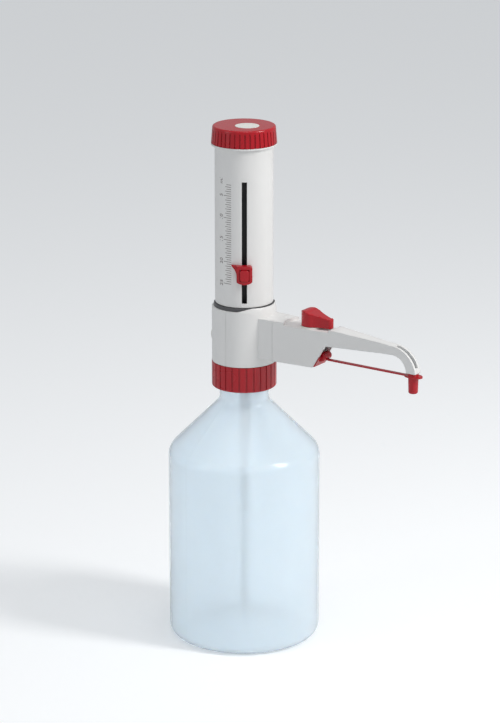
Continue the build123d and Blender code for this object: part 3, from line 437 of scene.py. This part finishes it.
def tick_tree():
    """Row of thin bars up a cylinder, bent round it, as geometry nodes."""
    tree = bpy.data.node_groups.new("scale_ticks", "GeometryNodeTree")
    face = tree.interface
    face.new_socket("Geometry", in_out="INPUT", socket_type="NodeSocketGeometry")
    face.new_socket("Ticks", in_out="INPUT", socket_type="NodeSocketInt")
    for name in ("Pitch", "Foot", "Length", "Line width", "Ink", "Radius", "Bearing"):
        face.new_socket(name, in_out="INPUT", socket_type="NodeSocketFloat")
    face.new_socket("Finish", in_out="INPUT", socket_type="NodeSocketMaterial")
    face.new_socket("Geometry", in_out="OUTPUT", socket_type="NodeSocketGeometry")
    nodes, links = tree.nodes, tree.links
    given = nodes.new("NodeGroupInput").outputs
    made = nodes.new("NodeGroupOutput")

    def reckoned(operation, first, second=None):
        node = nodes.new("ShaderNodeMath")
        node.operation = operation
        for socket, value in zip(node.inputs, (first, second)):
            if isinstance(value, float):
                socket.default_value = value
            elif value is not None:
                links.new(value, socket)
        return node.outputs[0]

    def vector(x=None, y=None, z=None):
        node = nodes.new("ShaderNodeCombineXYZ")
        for socket, value in zip(node.inputs, (x, y, z)):
            if value is not None:
                links.new(value, socket)
        return node.outputs[0]

    row = nodes.new("GeometryNodeMeshLine")
    links.new(given["Ticks"], row.inputs["Count"])
    row_foot = vector(reckoned("MULTIPLY", given["Length"], 0.5), None, given["Foot"])
    links.new(row_foot, row.inputs["Start Location"])
    links.new(vector(None, None, given["Pitch"]), row.inputs["Offset"])
    bar = nodes.new("GeometryNodeMeshCube")
    links.new(vector(given["Length"], given["Ink"], given["Line width"]), bar.inputs["Size"])
    bar.inputs["Vertices X"].default_value = 8
    copies = nodes.new("GeometryNodeInstanceOnPoints")
    links.new(row.outputs["Mesh"], copies.inputs["Points"])
    links.new(bar.outputs["Mesh"], copies.inputs["Instance"])
    real = nodes.new("GeometryNodeRealizeInstances")
    links.new(copies.outputs["Instances"], real.inputs["Geometry"])
    place = nodes.new("ShaderNodeSeparateXYZ")
    links.new(nodes.new("GeometryNodeInputPosition").outputs[0], place.inputs[0])
    across, out, up = place.outputs
    angle = reckoned("SUBTRACT", given["Bearing"], reckoned("DIVIDE", across, given["Radius"]))
    reach = reckoned("ADD", given["Radius"], out)
    bend = nodes.new("GeometryNodeSetPosition")
    links.new(real.outputs["Geometry"], bend.inputs["Geometry"])
    round_x = reckoned("MULTIPLY", reach, reckoned("COSINE", angle))
    round_y = reckoned("MULTIPLY", reach, reckoned("SINE", angle))
    links.new(vector(round_x, round_y, up), bend.inputs["Position"])
    finish = nodes.new("GeometryNodeSetMaterial")
    links.new(bend.outputs["Geometry"], finish.inputs["Geometry"])
    links.new(given["Finish"], finish.inputs["Material"])
    links.new(finish.outputs["Geometry"], made.inputs["Geometry"])
    return tree


def grown(name, tree, settings):
    """Plain mesh object made by a geometry nodes tree with these settings."""
    seed = bpy.data.objects.new(name + "_seed", bpy.data.meshes.new(name + "_seed"))
    bpy.context.scene.collection.objects.link(seed)
    modifier = seed.modifiers.new("grow", "NODES")
    modifier.node_group = tree
    for item in tree.interface.items_tree:
        if item.item_type == "SOCKET" and item.in_out == "INPUT" and item.name in settings:
            modifier[item.identifier] = settings[item.name]
    seed.update_tag()
    graph = bpy.context.evaluated_depsgraph_get()
    mesh = bpy.data.meshes.new_from_object(seed.evaluated_get(graph))
    mesh.name = name
    bpy.data.objects.remove(seed)
    piece = bpy.data.objects.new(name, mesh)
    bpy.context.scene.collection.objects.link(piece)
    return piece


def bent_word(word, height, form):
    """Adds a word to the mesh, reading upward on the sleeve, centred on the height."""
    letters = bpy.data.curves.new("word_" + word, "FONT")
    letters.body = word
    letters.size = number_size
    letters.extrude = ink_thick / 2
    letters.align_x = "CENTER"
    holder = bpy.data.objects.new("word_" + word, letters)
    bpy.context.scene.collection.objects.link(holder)
    graph = bpy.context.evaluated_depsgraph_get()
    mesh = bpy.data.meshes.new_from_object(holder.evaluated_get(graph))
    bpy.data.objects.remove(holder)
    for vertex in mesh.vertices:
        along, rise, out = vertex.co
        angle = slot_bearing + number_start + (number_size / 2 - rise) / sleeve_radius
        reach = sleeve_radius + out
        vertex.co = (reach * math.cos(angle), reach * math.sin(angle), height + along)
    form.from_mesh(mesh)


def scale_numbers():
    """The five numbers beside their ticks and the unit above them."""
    form = bmesh.new()
    for volume in range(most_volume, 0, -number_step):
        bent_word(str(volume), tick_foot + (most_volume - volume) * millilitre, form)
    bent_word("ml", tick_foot + (most_volume - number_step) * millilitre + unit_rise, form)
    mesh = bpy.data.meshes.new("scale_numbers")
    form.to_mesh(mesh)
    form.free()
    mesh.materials.append(ink)
    piece = bpy.data.objects.new("scale_numbers", mesh)
    bpy.context.scene.collection.objects.link(piece)
    return piece


ticks = tick_tree()
scale_pieces = [scale_numbers()]
for row_name, (count, step, spread) in tick_rows.items():
    scale_pieces.append(grown("ticks_" + row_name, ticks, {
        "Ticks": count,
        "Pitch": tick_pitch * step,
        "Foot": tick_foot,
        "Length": math.radians(spread) * sleeve_radius,
        "Line width": ink_line,
        "Ink": ink_thick,
        "Radius": sleeve_radius,
        "Bearing": slot_bearing + tick_start,
        "Finish": ink,
    }))
for piece in scale_pieces:
    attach(piece, "sleeve")

# Red mouldings
# Collar, cap, pointer, button, lever, anchor, strap and nozzle cap are glossy red mouldings.
gloss_red = (0.44, 0.004, 0.012, 1.0)
red_plastic = moulded_material(
    "red_polypropylene", gloss_red, gloss=(0.20, 0.30), clouding=0.08, grain_size=0.0007,
    grain_depth=0.00002, edge_round=0.0005,
)
dress(
    red_plastic, "collar", "top_cap", "volume_pointer", "pointer_button", "recirculation_knob",
    "strap_anchor", "cap_strap", "nozzle_cap",
)

# Dark mouldings
# Guide tube, bush, rail and latch are dark grey; the locking ring is a lighter satin grey.
guard_grey = (0.018, 0.018, 0.020, 1.0)
ring_grey = (0.09, 0.09, 0.095, 1.0)
dark_plastic = moulded_material(
    "dark_polypropylene", guard_grey, gloss=(0.45, 0.55), clouding=0.10, grain_size=0.0008,
    grain_depth=0.00003,
)
ring_plastic = moulded_material(
    "ring_polypropylene", ring_grey, gloss=(0.35, 0.45), clouding=0.08, grain_size=0.0008,
    grain_depth=0.00003, edge_round=0.0004,
)
dress(dark_plastic, "cylinder_guard", "cylinder_bush", "toothed_rack", "pointer_latch")
dress(ring_plastic, "lock_ring")

# Fluoropolymer and natural plastic pieces
# The wetted pieces are turned from white fluoropolymer; the disc, the lever's seat, the vent and
# the rod are natural plastic.
wax_white = (0.84, 0.85, 0.83, 1.0)
natural_white = (0.80, 0.79, 0.75, 1.0)
wax_plastic = moulded_material(
    "waxy_fluoropolymer", wax_white, gloss=(0.40, 0.50), clouding=0.05, grain_size=0.0009,
    grain_depth=0.00002,
)
natural_plastic = moulded_material(
    "natural_plastic", natural_white, gloss=(0.30, 0.42), clouding=0.05, grain_size=0.0008,
    grain_depth=0.00002, edge_round=0.0004,
)
natural_shader = shader_of(natural_plastic)
natural_shader.inputs["Subsurface Weight"].default_value = 0.3
natural_shader.inputs["Subsurface Radius"].default_value = (0.003, 0.003, 0.0025)
dress(
    wax_plastic, "neck_seal", "valve_block", "cylinder_seal", "piston", "piston_seal", "outlet_valve",
    "valve_body", "valve_plug", "intake_valve",
)
dress(natural_plastic, "cap_disc", "piston_rod", "knob_seat", "vent_cap")

# Glass
# Bore-ground cylinder and the valve balls.
clear_glass = (0.96, 0.98, 0.98, 1.0)
glass = moulded_material(
    "clear_glass", clear_glass, gloss=(0.02, 0.05), clouding=0.02, grain_size=0.004, grain_depth=0.000002
)
glass_shader = shader_of(glass)
glass_shader.inputs["Transmission Weight"].default_value = 1.0
glass_shader.inputs["IOR"].default_value = 1.47
dress(glass, "glass_cylinder", "intake_ball", "outlet_ball")

# Tubes
# Thin translucent fluoropolymer tubes.
tube_white = (0.86, 0.90, 0.92, 1.0)
tube_plastic = moulded_material(
    "translucent_tube", tube_white, gloss=(0.15, 0.25), clouding=0.04, grain_size=0.0009,
    grain_depth=0.00001,
)
tube_shader = shader_of(tube_plastic)
tube_shader.inputs["Transmission Weight"].default_value = 0.5
dress(
    tube_plastic, "discharge_tube", "outlet_pipe", "return_pipe", "suction_tube_upper",
    "suction_tube_lower", "recirculation_tube",
)

# O-rings
# Black rubber rings on the plug.
rubber_black = (0.02, 0.02, 0.02, 1.0)
rubber = moulded_material(
    "black_rubber", rubber_black, gloss=(0.55, 0.65), clouding=0.1, grain_size=0.0005, grain_depth=0.00002
)
dress(rubber, "plug_o_rings")
